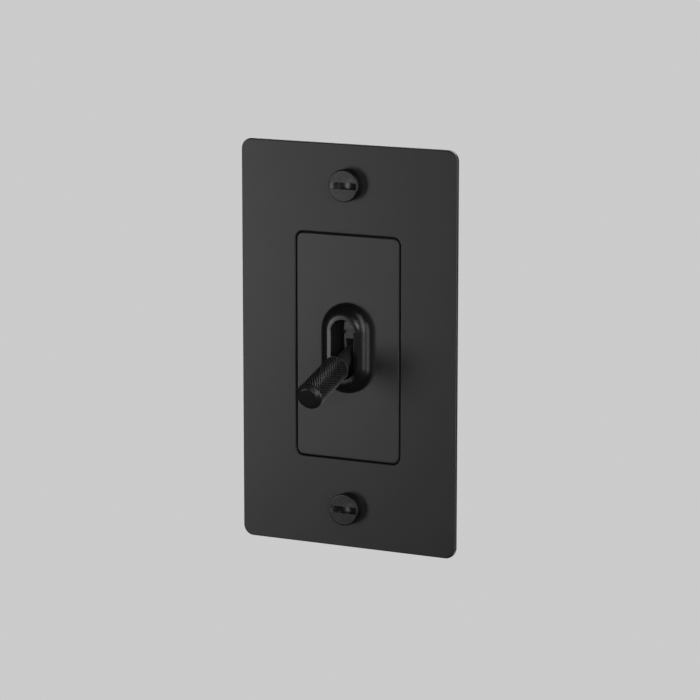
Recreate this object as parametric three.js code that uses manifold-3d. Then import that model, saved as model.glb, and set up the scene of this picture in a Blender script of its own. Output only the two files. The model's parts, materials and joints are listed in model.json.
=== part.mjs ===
// Toggle wall switch: a flat face plate with a central panel, a raised oval bezel and a
// knurled lever, on the steel yoke and moulded body of a two-way switch.
//
// Millimetres. +Z is up and the front faces -Y. The back of the face plate is the plane
// Y = 0, which is the wall surface, and the origin is the middle of the plate in it.
// The lever is drawn at the lower end of its throw.

import * as THREE from 'three';
import { mergeVertices } from 'three/addons/utils/BufferGeometryUtils.js';
import Module from 'manifold-3d';

// ---------------------------------------------------------------- driving dimensions

const GAP = 0.3; // clearance kept between pieces that meet
const FINE_GAP = 0.1; // clearance under a screw head that sits on a flat face
const FRONT = -1.6; // front of the face plate and of the central panel
const ROUND = 24; // sides of a large circle
const SMALL_ROUND = 12; // sides of a small circle

const PLATE = { width: 69.85, height: 120.65, corner: 3.2, holeRadius: 2.1 };
const PANEL = { width: 33.3, height: 66.8, corner: 2.0, seam: 0.45 };
const PLATE_SCREW = { z: 48.4, headRadius: 4.8, headHeight: 2.9, shankRadius: 1.75, end: 9 };
const COIN_SLOT = { width: 2.0, length: 8.4, depth: 1.5 };

// The bezel and its slot are stadiums: round ends whose centres lie this far from the middle.
const SLOT_STRETCH = 5.3;
const BEZEL = { radius: 8.2, wall: 0.3, landRadius: 4.9, land: 3.65, slotRadius: 3.65, crest: 3.77 };
const SPIGOT = { radius: 4.7, end: 3.3 };
const SEAL = { width: 34, height: 67.5, band: 1.2, front: 0.3 };
const BEZEL_SCREW = { z: 11.6, radius: 0.75, headRadius: 1.5, headHeight: 1.0, depth: 1.5 };

const YOKE = { front: 2.0, back: 3.6, neckWidth: 20, earZ: 45, endZ: 53, earWidth: 28 };
const BOX_SCREW = { z: 41.65, radius: 1.75, headRadius: 3.4, headHeight: 1.4, end: 24, slotLength: 7 };
const RETAINER = { side: 8.4, corner: 1, thickness: 0.8 };
const PANEL_SCREW = { z: 29.5, radius: 1.5, headRadius: 2.7, headHeight: 1.6, tip: -0.4,
  bossRadius: 2.8, bossRoot: -0.8 };

const BODY = { width: 30, height: 52, corner: 2, wall: 1.6, front: 3.9, split: 12, back: 31.8 };
const REAR_WALL = 1.8;
const OPENING = { halfWidth: 5, halfHeight: 4.3 }; // in the front wall, round the drum
const STOP = { z: 7.9, thickness: 1.2, end: 22, terminalRoom: 3 };
const BODY_SCREW = { z: 21.8, radius: 1.45, headRadius: 2.75, headHeight: 1.5, seat: 29.8, tip: 2.3 };
const BODY_BOSS_RADIUS = 3.6;

// Shape of a pan-head screw: shares of its head, and the length of its tip's chamfer.
const PAN = { flat: 0.7, dome: 0.4, slotHalf: 0.16, slotDepth: 0.55, tipShare: 0.75, tipLength: 0.4 };

const PIVOT_Y = 7.6;
const THROW = 32; // degrees from the lower end of the lever's travel to the upper
const DRUM = { radius: 4.0, halfWidth: 4.5, seat: 2.9 };
const PIN = { radius: 1.2, bore: 1.3, neckRadius: 0.8, headRadius: 1.9, headLength: 0.9, end: 0.6 };
const CHEEK = { inside: 5, outside: 8, halfHeight: 6.5, end: 11.6 };
const CLIP = { innerRadius: 1.0, outerRadius: 1.9, thickness: 0.5, groove: 0.8 };
const TAIL = { radius: 3.7, end: 14.8, bore: 2.2, boreFloor: 6.0 };
const STEM = { radius: 2.4, start: 3.2, end: 16.6, rootEnd: 2.0, rootFloor: 1.7 };
const STEM_SPIGOT = { radius: 1.5, bore: 1.8, end: 24 };
const GRIP = { radius: 4.0, start: 16.9, end: 36.9, faceRadius: 2.75, tipChamfer: 1.0, rootChamfer: 0.6 };
const PLUNGER = { radius: 1.9, start: 10.4, tip: 17.3 };
const SPRING = { wire: 0.25, radius: 1.6, start: 6.3, end: 10.1, turns: 4 };

const ROCKER_THROW = 14; // degrees between the two ends of the contact rocker's travel
const ROCKER = { halfWidth: 2.7, halfLength: 12.6, thickness: 0.9, bend: 5, front: 25.25 };
const CONTACT = { z: 11, radius: 1.8, height: 0.8, shankRadius: 0.9, fixedFront: 27.75 };
const STRIP = { front: 28.7, back: 29.7, halfHeight: 3 };
const FULCRUM = { rootHalf: 1.1, tipHalf: 0.25, earInside: 3.3, earOutside: 4.3, earHalf: 2.4, earRise: 0.6,
  rootDepth: 0.5 };
const TERMINAL = { z: 11, y: 21, inner: 13.7, outer: 14.7, front: 16, halfHeight: 4 };
const TERMINAL_SCREW = { radius: 1.75, headRadius: 3.3, headHeight: 1.9, length: 7 };
const GROUND = { x: -10, z: -39, halfHeight: 4.5, thickness: 1.6, tabEnd: 13, y: 8.4 };

// ---------------------------------------------------------------- solid helpers

const wasm = await Module();
wasm.setup();

/** Closed geometry to manifold solid, with shared vertices merged and slivers dropped. */
function toSolid(geometry) {
  const bare = geometry.clone();
  bare.deleteAttribute('normal');
  bare.deleteAttribute('uv');
  const merged = mergeVertices(bare, 1e-4);
  const corners = merged.index.array;
  const triangles = [];
  for (let i = 0; i < corners.length; i += 3) {
    const [a, b, c] = corners.slice(i, i + 3);
    if (a !== b && b !== c && c !== a) triangles.push(a, b, c);
  }
  const vertProperties = new Float32Array(merged.attributes.position.array);
  return new wasm.Manifold(new wasm.Mesh({ numProp: 3, vertProperties, triVerts: new Uint32Array(triangles) }));
}

function toGeometry(solid) {
  const mesh = solid.getMesh();
  const geometry = new THREE.BufferGeometry();
  geometry.setAttribute('position', new THREE.BufferAttribute(new Float32Array(mesh.vertProperties), 3));
  geometry.setIndex(new THREE.BufferAttribute(new Uint32Array(mesh.triVerts), 1));
  geometry.computeVertexNormals();
  return geometry;
}

function join(first, ...others) {
  return toGeometry(others.reduce((sum, other) => sum.add(toSolid(other)), toSolid(first)));
}

function cut(body, ...tools) {
  return toGeometry(tools.reduce((rest, tool) => rest.subtract(toSolid(tool)), toSolid(body)));
}

/** Outline in X and Z, made solid between two depths in Y. */
function slab(shape, yFront, yBack, curveSegments = 6) {
  const settings = { depth: yBack - yFront, bevelEnabled: false, curveSegments };
  const geometry = new THREE.ExtrudeGeometry(shape, settings);
  return geometry.rotateX(Math.PI / 2).translate(0, yBack, 0);
}

/** Box from its lowest and highest corners. */
function block(low, high) {
  const size = high.map((value, i) => value - low[i]);
  const middle = high.map((value, i) => (value + low[i]) / 2);
  return new THREE.BoxGeometry(...size).translate(...middle);
}

/** Solid of revolution about Y. The outline is a list of [radius, y] from front to back. */
function turned(outline, sides = ROUND) {
  const points = outline.map(([radius, y]) => new THREE.Vector2(radius, y));
  return new THREE.LatheGeometry(points, sides, Math.PI / sides);
}

/** Round bar about Y between two depths. */
function bar(radius, yFront, yBack, sides = SMALL_ROUND) {
  return turned([[0, yFront], [radius, yFront], [radius, yBack], [0, yBack]], sides);
}

/** Pulls the two halves of a turned solid apart in Z, which makes its circles stadiums. */
function stretched(geometry, halfLength) {
  const position = geometry.attributes.position;
  for (let i = 0; i < position.count; i += 1) {
    position.setZ(i, position.getZ(i) + Math.sign(position.getZ(i)) * halfLength);
  }
  return geometry;
}

/** Turns a piece made along +Y so that it lies along +X. */
function alongX(geometry) {
  return geometry.rotateZ(-Math.PI / 2);
}

function roundedRectangle(width, height, corner) {
  const x = width / 2 - corner;
  const z = height / 2 - corner;
  const shape = new THREE.Shape();
  shape.absarc(x, z, corner, 0, Math.PI / 2);
  shape.absarc(-x, z, corner, Math.PI / 2, Math.PI);
  shape.absarc(-x, -z, corner, Math.PI, Math.PI * 1.5);
  shape.absarc(x, -z, corner, Math.PI * 1.5, Math.PI * 2);
  shape.closePath();
  return shape;
}

// ---------------------------------------------------------------- plate, panel and bezel

function facePlate() {
  const outline = roundedRectangle(PLATE.width, PLATE.height, PLATE.corner);
  const opening = roundedRectangle(PANEL.width + 2 * PANEL.seam, PANEL.height + 2 * PANEL.seam,
    PANEL.corner + PANEL.seam);
  outline.holes.push(opening);
  const hole = (side) => bar(PLATE.holeRadius, FRONT - 1, 1).translate(0, 0, side * PLATE_SCREW.z);
  return cut(slab(outline, FRONT, 0), hole(-1), hole(1));
}

/** Central panel with two tapped bosses behind it. */
function insertPanel() {
  const panel = slab(roundedRectangle(PANEL.width, PANEL.height, PANEL.corner), FRONT, 0);
  const opening = stretched(bar(SPIGOT.radius + GAP, FRONT - 1, 1, ROUND), SLOT_STRETCH);
  const bosses = [];
  const holes = [];
  for (const side of [-1, 1]) {
    bosses.push(bar(PANEL_SCREW.bossRadius, PANEL_SCREW.bossRoot, YOKE.front - FINE_GAP)
      .translate(0, 0, side * PANEL_SCREW.z));
    holes.push(bar(PANEL_SCREW.radius + GAP / 2, PANEL_SCREW.tip - GAP, YOKE.front)
      .translate(0, 0, side * PANEL_SCREW.z));
    holes.push(bar(BEZEL_SCREW.radius + GAP / 2, FRONT - 1, 1).translate(0, 0, side * BEZEL_SCREW.z));
  }
  return cut(join(panel, ...bosses), opening, ...holes);
}

/** Oval bezel: a convex flank, then a land that rises a little to its crest at the slot. */
function toggleBezel() {
  const base = FRONT - FINE_GAP;
  const flankSteps = 5;
  const flank = [[BEZEL.radius, base]];
  for (let i = 0; i <= flankSteps; i += 1) {
    const turn = (i / flankSteps) * (Math.PI / 2);
    const radius = BEZEL.landRadius + (BEZEL.radius - BEZEL.landRadius) * Math.cos(turn);
    const rise = BEZEL.wall + (BEZEL.land - BEZEL.wall) * Math.sin(turn);
    flank.push([radius, FRONT - rise]);
  }
  const body = turned([
    [BEZEL.slotRadius, SPIGOT.end],
    [BEZEL.slotRadius, FRONT - BEZEL.crest],
    ...flank.reverse(),
    [SPIGOT.radius, base],
    [SPIGOT.radius, SPIGOT.end],
    [BEZEL.slotRadius, SPIGOT.end],
  ]);
  const holes = [-1, 1].map((side) => bar(BEZEL_SCREW.radius + GAP / 2, FRONT - BEZEL_SCREW.depth - GAP, 0)
    .translate(0, 0, side * BEZEL_SCREW.z));
  return cut(stretched(body, SLOT_STRETCH), ...holes);
}

/** Foam band on the yoke that closes the seam round the panel from behind. */
function seamSeal() {
  const band = roundedRectangle(SEAL.width, SEAL.height, PANEL.corner);
  const inside = roundedRectangle(SEAL.width - 2 * SEAL.band, SEAL.height - 2 * SEAL.band,
    PANEL.corner - SEAL.band / 2);
  band.holes.push(inside);
  return slab(band, SEAL.front, YOKE.front - FINE_GAP);
}

/** Low round-headed screw for the plate, with a coin slot whose floor is an arc. */
function plateScrew(side) {
  const under = FRONT - FINE_GAP;
  const top = under - PLATE_SCREW.headHeight;
  const edge = 0.35;
  const screw = turned([
    [0, top],
    [PLATE_SCREW.headRadius - edge, top],
    [PLATE_SCREW.headRadius, top + edge],
    [PLATE_SCREW.headRadius, under],
    [PLATE_SCREW.shankRadius, under],
    [PLATE_SCREW.shankRadius, PLATE_SCREW.end - edge],
    [PLATE_SCREW.shankRadius - edge, PLATE_SCREW.end],
    [0, PLATE_SCREW.end],
  ]);
  const halfChord = COIN_SLOT.length / 2;
  const cutterRadius = (halfChord ** 2 + COIN_SLOT.depth ** 2) / (2 * COIN_SLOT.depth);
  const cutter = bar(cutterRadius, -COIN_SLOT.width / 2, COIN_SLOT.width / 2, 40)
    .rotateX(Math.PI / 2)
    .translate(0, top + COIN_SLOT.depth - cutterRadius, 0);
  return cut(screw, cutter).translate(0, 0, side * PLATE_SCREW.z);
}

// ---------------------------------------------------------------- yoke and its screws

/** The middle of the strap is as large as the plate's opening, so it backs the seam. */
function yokeOutline() {
  const { neckWidth, earZ, endZ, earWidth } = YOKE;
  const corner = 2.5;
  const bodyX = PANEL.width / 2 + PANEL.seam - FINE_GAP;
  const bodyZ = PANEL.height / 2 + PANEL.seam;
  const quarter = [
    [bodyX, bodyZ],
    [neckWidth / 2, bodyZ],
    [neckWidth / 2, earZ],
    [earWidth / 2, earZ],
    [earWidth / 2, endZ - corner],
    [earWidth / 2 - corner, endZ],
  ];
  const right = [...quarter.map(([x, z]) => [x, -z]).reverse(), ...quarter];
  const left = right.map(([x, z]) => [-x, z]).reverse();
  return new THREE.Shape([...right, ...left].map(([x, z]) => new THREE.Vector2(x, z)));
}

/** Steel strap with screw ears, an opening for the bezel's spigot and a bent earth tab. */
function mountingYoke() {
  const strap = slab(yokeOutline(), YOKE.front, YOKE.back);
  const tab = block([GROUND.x, YOKE.front, GROUND.z - GROUND.halfHeight],
    [GROUND.x + GROUND.thickness, GROUND.tabEnd, GROUND.z + GROUND.halfHeight]);
  const tools = [stretched(bar(SPIGOT.radius + 2 * GAP, 0, 5, ROUND), SLOT_STRETCH)];
  for (const side of [-1, 1]) {
    const slotReach = (BOX_SCREW.slotLength - 2 * (BOX_SCREW.radius + GAP)) / 2;
    tools.push(stretched(bar(BOX_SCREW.radius + GAP, 0, 5), slotReach)
      .rotateY(Math.PI / 2)
      .translate(0, 0, side * BOX_SCREW.z));
    tools.push(bar(PLATE_SCREW.shankRadius + GAP / 2, 0, 5).translate(0, 0, side * PLATE_SCREW.z));
    tools.push(bar(PANEL_SCREW.radius + GAP / 2, 0, 5).translate(0, 0, side * PANEL_SCREW.z));
    tools.push(bar(BODY_SCREW.radius + GAP / 2, 0, 5).translate(0, 0, side * BODY_SCREW.z));
  }
  tools.push(alongX(bar(TERMINAL_SCREW.radius + GAP / 2, -5, 5)).translate(GROUND.x, GROUND.y, GROUND.z));
  return cut(join(strap, tab), ...tools);
}

/** Pan-head machine screw about Y: head towards the given direction, with a straight slot. */
function panScrew({ headRadius, headHeight, radius, underHead, tip }) {
  const outward = Math.sign(underHead - tip);
  const top = underHead + outward * headHeight;
  const dome = headHeight * PAN.dome;
  const outline = [
    [0, top],
    [headRadius * PAN.flat, top],
    [headRadius, top - outward * dome],
    [headRadius, underHead],
    [radius, underHead],
    [radius, tip + outward * PAN.tipLength],
    [radius * PAN.tipShare, tip],
    [0, tip],
  ];
  const screw = turned(outward < 0 ? outline : outline.reverse(), SMALL_ROUND);
  const slotHalf = headRadius * PAN.slotHalf;
  const slotFloor = top - outward * headHeight * PAN.slotDepth;
  const yLimits = [slotFloor, top + outward].sort((a, b) => a - b);
  const slot = block([-headRadius - 1, yLimits[0], -slotHalf], [headRadius + 1, yLimits[1], slotHalf]);
  return cut(screw, slot);
}

function boxScrew(side) {
  return panScrew({ ...BOX_SCREW, underHead: YOKE.front - FINE_GAP, tip: BOX_SCREW.end })
    .translate(0, 0, side * BOX_SCREW.z);
}

/** Square fibre washer that keeps a box screw in the yoke. */
function screwRetainer(side) {
  const shape = roundedRectangle(RETAINER.side, RETAINER.side, RETAINER.corner);
  const plate = slab(shape, YOKE.back + GAP, YOKE.back + GAP + RETAINER.thickness);
  return cut(plate, bar(BOX_SCREW.radius + GAP / 2, 0, 10)).translate(0, 0, side * BOX_SCREW.z);
}

function panelScrew(side) {
  return panScrew({ ...PANEL_SCREW, underHead: YOKE.back + FINE_GAP })
    .translate(0, 0, side * PANEL_SCREW.z);
}

function bezelScrew(side) {
  return panScrew({ ...BEZEL_SCREW, underHead: FINE_GAP, tip: FRONT - BEZEL_SCREW.depth })
    .translate(0, 0, side * BEZEL_SCREW.z);
}

// ---------------------------------------------------------------- moulded body

const bodyOutline = () => roundedRectangle(BODY.width, BODY.height, BODY.corner);
const cavityOutline = () => roundedRectangle(BODY.width - 2 * BODY.wall, BODY.height - 2 * BODY.wall, 1);

/** Front half of the body, with the two cheeks that carry the pivot pin. */
function frontFrame() {
  const shell = cut(slab(bodyOutline(), BODY.front, BODY.split),
    slab(cavityOutline(), BODY.front + BODY.wall, BODY.split + 1));
  const additions = [];
  const { halfWidth, halfHeight } = OPENING;
  const tools = [block([-halfWidth, 0, -halfHeight], [halfWidth, BODY.split, halfHeight])];
  for (const side of [-1, 1]) {
    const x = [side * CHEEK.inside, side * CHEEK.outside].sort((a, b) => a - b);
    additions.push(block([x[0], BODY.front + 1, -CHEEK.halfHeight], [x[1], CHEEK.end, CHEEK.halfHeight]));
    additions.push(bar(BODY_BOSS_RADIUS, BODY.front + 1, BODY.split).translate(0, 0, side * BODY_SCREW.z));
    tools.push(bar(BODY_SCREW.radius + GAP / 2, 0, 20).translate(0, 0, side * BODY_SCREW.z));
  }
  tools.push(alongX(bar(PIN.bore, -10, 10, ROUND)).translate(0, PIVOT_Y, 0));
  return cut(join(shell, ...additions), ...tools);
}

/** Notch in a side wall, open towards the front, that a terminal slides into. */
function terminalNotch(xSide, z) {
  const reach = TERMINAL.halfHeight + GAP;
  const x = [xSide * (TERMINAL.inner - 1), xSide * (BODY.width / 2 + 1)].sort((a, b) => a - b);
  return block([x[0], BODY.split - 1, z - reach], [x[1], STRIP.back + GAP, z + reach]);
}

/** Rear half of the body: a cup with stop walls for the lever and notches for terminals. */
function rearHousing() {
  const front = BODY.split + GAP;
  const floor = BODY.back - REAR_WALL;
  const cup = cut(slab(bodyOutline(), front, BODY.back), slab(cavityOutline(), front - 1, floor));
  const additions = [];
  const tools = [terminalNotch(1, TERMINAL.z), terminalNotch(1, -TERMINAL.z), terminalNotch(-1, 0)];
  const wallX = BODY.width / 2 - BODY.wall / 2;
  for (const side of [-1, 1]) {
    const z = [side * STOP.z, side * (STOP.z + STOP.thickness)].sort((a, b) => a - b);
    additions.push(block([-wallX, front, z[0]], [wallX - STOP.terminalRoom, STOP.end, z[1]]));
    additions.push(bar(BODY_BOSS_RADIUS, front, floor + 1).translate(0, 0, side * BODY_SCREW.z));
    tools.push(bar(BODY_SCREW.radius + GAP / 2, 0, 40).translate(0, 0, side * BODY_SCREW.z));
    tools.push(bar(BODY_SCREW.headRadius + GAP, BODY_SCREW.seat, 40).translate(0, 0, side * BODY_SCREW.z));
  }
  return cut(join(cup, ...additions), ...tools);
}

function bodyScrew(side) {
  return panScrew({ ...BODY_SCREW, underHead: BODY_SCREW.seat + FINE_GAP })
    .translate(0, 0, side * BODY_SCREW.z);
}

/** Pin across the cheeks, with a head at one end and a clip groove at the other. */
function pivotPin() {
  const seat = CHEEK.outside + GAP;
  const groove = [-seat - FINE_GAP, -seat - FINE_GAP - CLIP.groove];
  const pin = turned([
    [0, groove[1] - PIN.end],
    [PIN.radius, groove[1] - PIN.end],
    [PIN.radius, groove[1]],
    [PIN.neckRadius, groove[1]],
    [PIN.neckRadius, groove[0]],
    [PIN.radius, groove[0]],
    [PIN.radius, seat],
    [PIN.headRadius, seat],
    [PIN.headRadius, seat + PIN.headLength],
    [0, seat + PIN.headLength],
  ], ROUND);
  return alongX(pin).translate(0, PIVOT_Y, 0);
}

/** Open clip that sits in the middle of the pin's groove. */
function pinClip() {
  const mouth = Math.PI / 5;
  const shape = new THREE.Shape();
  shape.absarc(0, 0, CLIP.outerRadius, mouth, 2 * Math.PI - mouth);
  shape.absarc(0, 0, CLIP.innerRadius, 2 * Math.PI - mouth, mouth, true);
  shape.closePath();
  const middle = -(CHEEK.outside + GAP + FINE_GAP + CLIP.groove / 2);
  const clip = slab(shape, middle - CLIP.thickness / 2, middle + CLIP.thickness / 2, 12);
  return alongX(clip).translate(0, PIVOT_Y, 0);
}

// ---------------------------------------------------------------- lever, about its pivot

/** Drum on the pivot pin, with a flat seat for the stem in front and a bored tail behind. */
function leverDrum() {
  const drum = alongX(bar(DRUM.radius, -DRUM.halfWidth, DRUM.halfWidth, 40));
  const tail = bar(TAIL.radius, 0, TAIL.end);
  const flat = block([-10, -DRUM.radius - 1, -DRUM.radius], [10, -DRUM.seat, DRUM.radius]);
  const pinBore = alongX(bar(PIN.bore, -10, 10, ROUND));
  const stemBore = bar(STEM_SPIGOT.bore, -DRUM.radius, -STEM.rootFloor);
  const springBore = bar(TAIL.bore, TAIL.boreFloor, TAIL.end + 1);
  return cut(join(drum, tail), flat, pinBore, stemBore, springBore);
}

function leverStem() {
  const shoulder = 0.3;
  return turned([
    [0, -STEM_SPIGOT.end],
    [STEM_SPIGOT.radius, -STEM_SPIGOT.end],
    [STEM_SPIGOT.radius, -STEM.end],
    [STEM.radius - shoulder, -STEM.end],
    [STEM.radius, -STEM.end + shoulder],
    [STEM.radius, -STEM.start],
    [STEM_SPIGOT.radius, -STEM.start],
    [STEM_SPIGOT.radius, -STEM.rootEnd],
    [0, -STEM.rootEnd],
  ]);
}

/** Grip, drawn as the envelope of its knurling, with a turned chamfer at each end. */
function knurledGrip() {
  const boreFloor = STEM_SPIGOT.end + GAP;
  return turned([
    [0, -GRIP.end],
    [GRIP.faceRadius, -GRIP.end],
    [GRIP.radius, -GRIP.end + GRIP.tipChamfer],
    [GRIP.radius, -GRIP.start - GRIP.rootChamfer],
    [GRIP.radius - GRIP.rootChamfer, -GRIP.start],
    [STEM_SPIGOT.bore, -GRIP.start],
    [STEM_SPIGOT.bore, -boreFloor],
    [0, -boreFloor],
  ]);
}

function plunger() {
  const outline = [[0, PLUNGER.start], [PLUNGER.radius, PLUNGER.start]];
  const domeSteps = 4;
  const domeStart = PLUNGER.tip - PLUNGER.radius;
  for (let i = 0; i <= domeSteps; i += 1) {
    const turn = (i / domeSteps) * (Math.PI / 2);
    outline.push([PLUNGER.radius * Math.cos(turn), domeStart + PLUNGER.radius * Math.sin(turn)]);
  }
  outline[outline.length - 1] = [0, PLUNGER.tip];
  return turned(outline, SMALL_ROUND);
}

class Helix extends THREE.Curve {
  getPoint(t, target = new THREE.Vector3()) {
    const turn = t * SPRING.turns * 2 * Math.PI;
    const y = SPRING.start + SPRING.wire + t * (SPRING.end - SPRING.start - 2 * SPRING.wire);
    return target.set(SPRING.radius * Math.cos(turn), y, SPRING.radius * Math.sin(turn));
  }
}

function plungerSpring() {
  const section = new THREE.Shape();
  section.absarc(0, 0, SPRING.wire, 0, 2 * Math.PI);
  return new THREE.ExtrudeGeometry(section, {
    extrudePath: new Helix(),
    steps: SPRING.turns * 10,
    curveSegments: 4,
    bevelEnabled: false,
  });
}

// ---------------------------------------------------------------- contacts and terminals

const ROCKER_PIVOT_Y = ROCKER.front + ROCKER.thickness + 0.3;
const wingSlope = Math.tan(THREE.MathUtils.degToRad(ROCKER.bend));

/** Depth of the rocker's front face at a height, from its pivot, with the rocker level. */
const wingFront = (z) => ROCKER.front - ROCKER_PIVOT_Y - Math.abs(z) * wingSlope;

/** Shallow V of spring bronze that rocks on the common terminal's edge. */
function contactRocker() {
  const z = ROCKER.halfLength;
  const outline = [
    [wingFront(-z), -z],
    [wingFront(0), 0],
    [wingFront(z), z],
    [wingFront(z) + ROCKER.thickness, z],
    [wingFront(0) + ROCKER.thickness, 0],
    [wingFront(-z) + ROCKER.thickness, -z],
  ];
  const shape = new THREE.Shape(outline.map(([y, height]) => new THREE.Vector2(height, y)));
  const strip = new THREE.ExtrudeGeometry(shape, { depth: 2 * ROCKER.halfWidth, bevelEnabled: false });
  strip.rotateY(-Math.PI / 2).translate(ROCKER.halfWidth, 0, 0);
  const holes = [-1, 1].map((side) => contactSeat(side, bar(CONTACT.shankRadius + GAP / 2, -3, 3)));
  return cut(strip, ...holes);
}

/** Puts a piece made about Y onto a wing of the rocker, square to the wing's back face. */
function contactSeat(side, geometry) {
  const bend = THREE.MathUtils.degToRad(ROCKER.bend);
  return geometry
    .rotateX(side * bend)
    .translate(0, wingFront(CONTACT.z) + ROCKER.thickness, side * CONTACT.z);
}

function movingContact(side) {
  const button = turned([
    [0, -ROCKER.thickness - 0.3],
    [CONTACT.shankRadius, -ROCKER.thickness - 0.3],
    [CONTACT.shankRadius, FINE_GAP],
    [CONTACT.radius, FINE_GAP],
    [CONTACT.radius, CONTACT.height - 0.15],
    [CONTACT.radius - 0.3, CONTACT.height],
    [0, CONTACT.height],
  ], SMALL_ROUND);
  return contactSeat(side, button);
}

function fixedContact(side) {
  const front = CONTACT.fixedFront;
  return turned([
    [0, front],
    [CONTACT.radius - 0.1, front],
    [CONTACT.radius + 0.2, front + 0.2],
    [CONTACT.radius + 0.2, STRIP.front - FINE_GAP],
    [CONTACT.shankRadius, STRIP.front - FINE_GAP],
    [CONTACT.shankRadius, STRIP.back - FINE_GAP],
    [0, STRIP.back - FINE_GAP],
  ], SMALL_ROUND).translate(0, 0, side * CONTACT.z);
}

/** Brass angle: a strip along the rear wall and a flange for the screw, both on the +X side. */
function terminalAngle(stripStart, halfHeight) {
  const strip = block([stripStart, STRIP.front, -halfHeight], [TERMINAL.outer, STRIP.back, halfHeight]);
  const flange = block([TERMINAL.inner, TERMINAL.front, -TERMINAL.halfHeight],
    [TERMINAL.outer, STRIP.back, TERMINAL.halfHeight]);
  const screwHole = alongX(bar(TERMINAL_SCREW.radius + GAP / 2, 0, 20)).translate(0, TERMINAL.y, 0);
  return cut(join(strip, flange), screwHole);
}

function travellerTerminal(side) {
  const seat = bar(CONTACT.shankRadius + GAP / 2, 20, 35);
  return cut(terminalAngle(-STRIP.halfHeight, STRIP.halfHeight), seat).translate(0, 0, side * TERMINAL.z);
}

/** Common terminal, with the edge the rocker sits on and an ear at each side of it. */
function commonTerminal() {
  const root = STRIP.front + FULCRUM.rootDepth;
  const { rootHalf, tipHalf, earInside, earOutside, earHalf, earRise } = FULCRUM;
  const outline = [[-rootHalf, root], [-tipHalf, ROCKER_PIVOT_Y], [tipHalf, ROCKER_PIVOT_Y], [rootHalf, root]];
  const post = new THREE.Shape(outline.map(([z, y]) => new THREE.Vector2(z, y)));
  const fulcrum = new THREE.ExtrudeGeometry(post, { depth: 2 * ROCKER.halfWidth, bevelEnabled: false })
    .rotateY(-Math.PI / 2)
    .translate(ROCKER.halfWidth, 0, 0);
  const ears = [-1, 1].map((side) => {
    const x = [side * earInside, side * earOutside].sort((a, b) => a - b);
    return block([x[0], ROCKER.front - earRise, -earHalf], [x[1], root, earHalf]);
  });
  return join(terminalAngle(-earOutside, STRIP.halfHeight), fulcrum, ...ears).rotateY(Math.PI);
}

/** Screw on the +X side of the body, its head outside the terminal's flange. */
function terminalScrew() {
  const screw = panScrew({ ...TERMINAL_SCREW, underHead: TERMINAL.outer + FINE_GAP,
    tip: TERMINAL.outer - TERMINAL_SCREW.length });
  return alongX(screw).translate(0, TERMINAL.y, 0);
}

function groundScrew() {
  const screw = panScrew({ ...TERMINAL_SCREW, underHead: -FINE_GAP, tip: TERMINAL_SCREW.length });
  return alongX(screw).translate(GROUND.x, GROUND.y, GROUND.z);
}

// ---------------------------------------------------------------- materials

const finish = (color, roughness, metalness) => new THREE.MeshStandardMaterial({ color, roughness, metalness });

const blackPlate = finish(0x2b2b2c, 0.55, 0.4);
const blackMetal = finish(0x161617, 0.4, 0.6);
const zincSteel = finish(0xa9adb0, 0.4, 0.9);
const blackPlastic = finish(0x1d1d1f, 0.6, 0.0);
const greyPlastic = finish(0x4a4a4c, 0.5, 0.0);
const blackFoam = finish(0x101010, 0.95, 0.0);
const brass = finish(0xb9924a, 0.35, 0.9);
const silver = finish(0xd8d8d6, 0.3, 1.0);
const springSteel = finish(0x8b8e92, 0.3, 1.0);
const whiteNylon = finish(0xd9d6cc, 0.5, 0.0);
const fibre = finish(0x7b3a2a, 0.8, 0.0);
const greenScrew = finish(0x2f7d4a, 0.4, 0.6);

// ---------------------------------------------------------------- assembly

function add(group, name, geometry, material) {
  const mesh = new THREE.Mesh(geometry, material);
  mesh.name = name;
  group.add(mesh);
}

const wallSwitch = new THREE.Group();
add(wallSwitch, 'face_plate', facePlate(), blackPlate);
add(wallSwitch, 'insert_panel', insertPanel(), blackPlate);
add(wallSwitch, 'toggle_bezel', toggleBezel(), blackMetal);
add(wallSwitch, 'seam_seal', seamSeal(), blackFoam);
add(wallSwitch, 'mounting_yoke', mountingYoke(), zincSteel);
add(wallSwitch, 'front_frame', frontFrame(), blackPlastic);
add(wallSwitch, 'rear_housing', rearHousing(), blackPlastic);
add(wallSwitch, 'pivot_pin', pivotPin(), springSteel);
add(wallSwitch, 'pin_clip', pinClip(), springSteel);

for (const [end, side] of [['upper', 1], ['lower', -1]]) {
  add(wallSwitch, `plate_screw_${end}`, plateScrew(side), blackMetal);
  add(wallSwitch, `box_screw_${end}`, boxScrew(side), zincSteel);
  add(wallSwitch, `screw_retainer_${end}`, screwRetainer(side), fibre);
  add(wallSwitch, `panel_screw_${end}`, panelScrew(side), zincSteel);
  add(wallSwitch, `bezel_screw_${end}`, bezelScrew(side), zincSteel);
  add(wallSwitch, `body_screw_${end}`, bodyScrew(side), zincSteel);
  add(wallSwitch, `fixed_contact_${end}`, fixedContact(side), silver);
  add(wallSwitch, `traveller_terminal_${end}`, travellerTerminal(side), brass);
  add(wallSwitch, `traveller_screw_${end}`, terminalScrew().translate(0, 0, side * TERMINAL.z), brass);
}
add(wallSwitch, 'common_terminal', commonTerminal(), brass);
add(wallSwitch, 'common_screw', terminalScrew().rotateY(Math.PI), blackMetal);
add(wallSwitch, 'ground_screw', groundScrew(), greenScrew);

const lever = new THREE.Group();
lever.position.y = PIVOT_Y;
lever.rotation.x = THREE.MathUtils.degToRad(THROW / 2);
add(lever, 'lever_drum', leverDrum(), greyPlastic);
add(lever, 'lever_stem', leverStem(), blackMetal);
add(lever, 'knurled_grip', knurledGrip(), blackMetal);
add(lever, 'plunger', plunger(), whiteNylon);
add(lever, 'plunger_spring', plungerSpring(), springSteel);
wallSwitch.add(lever);

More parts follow.
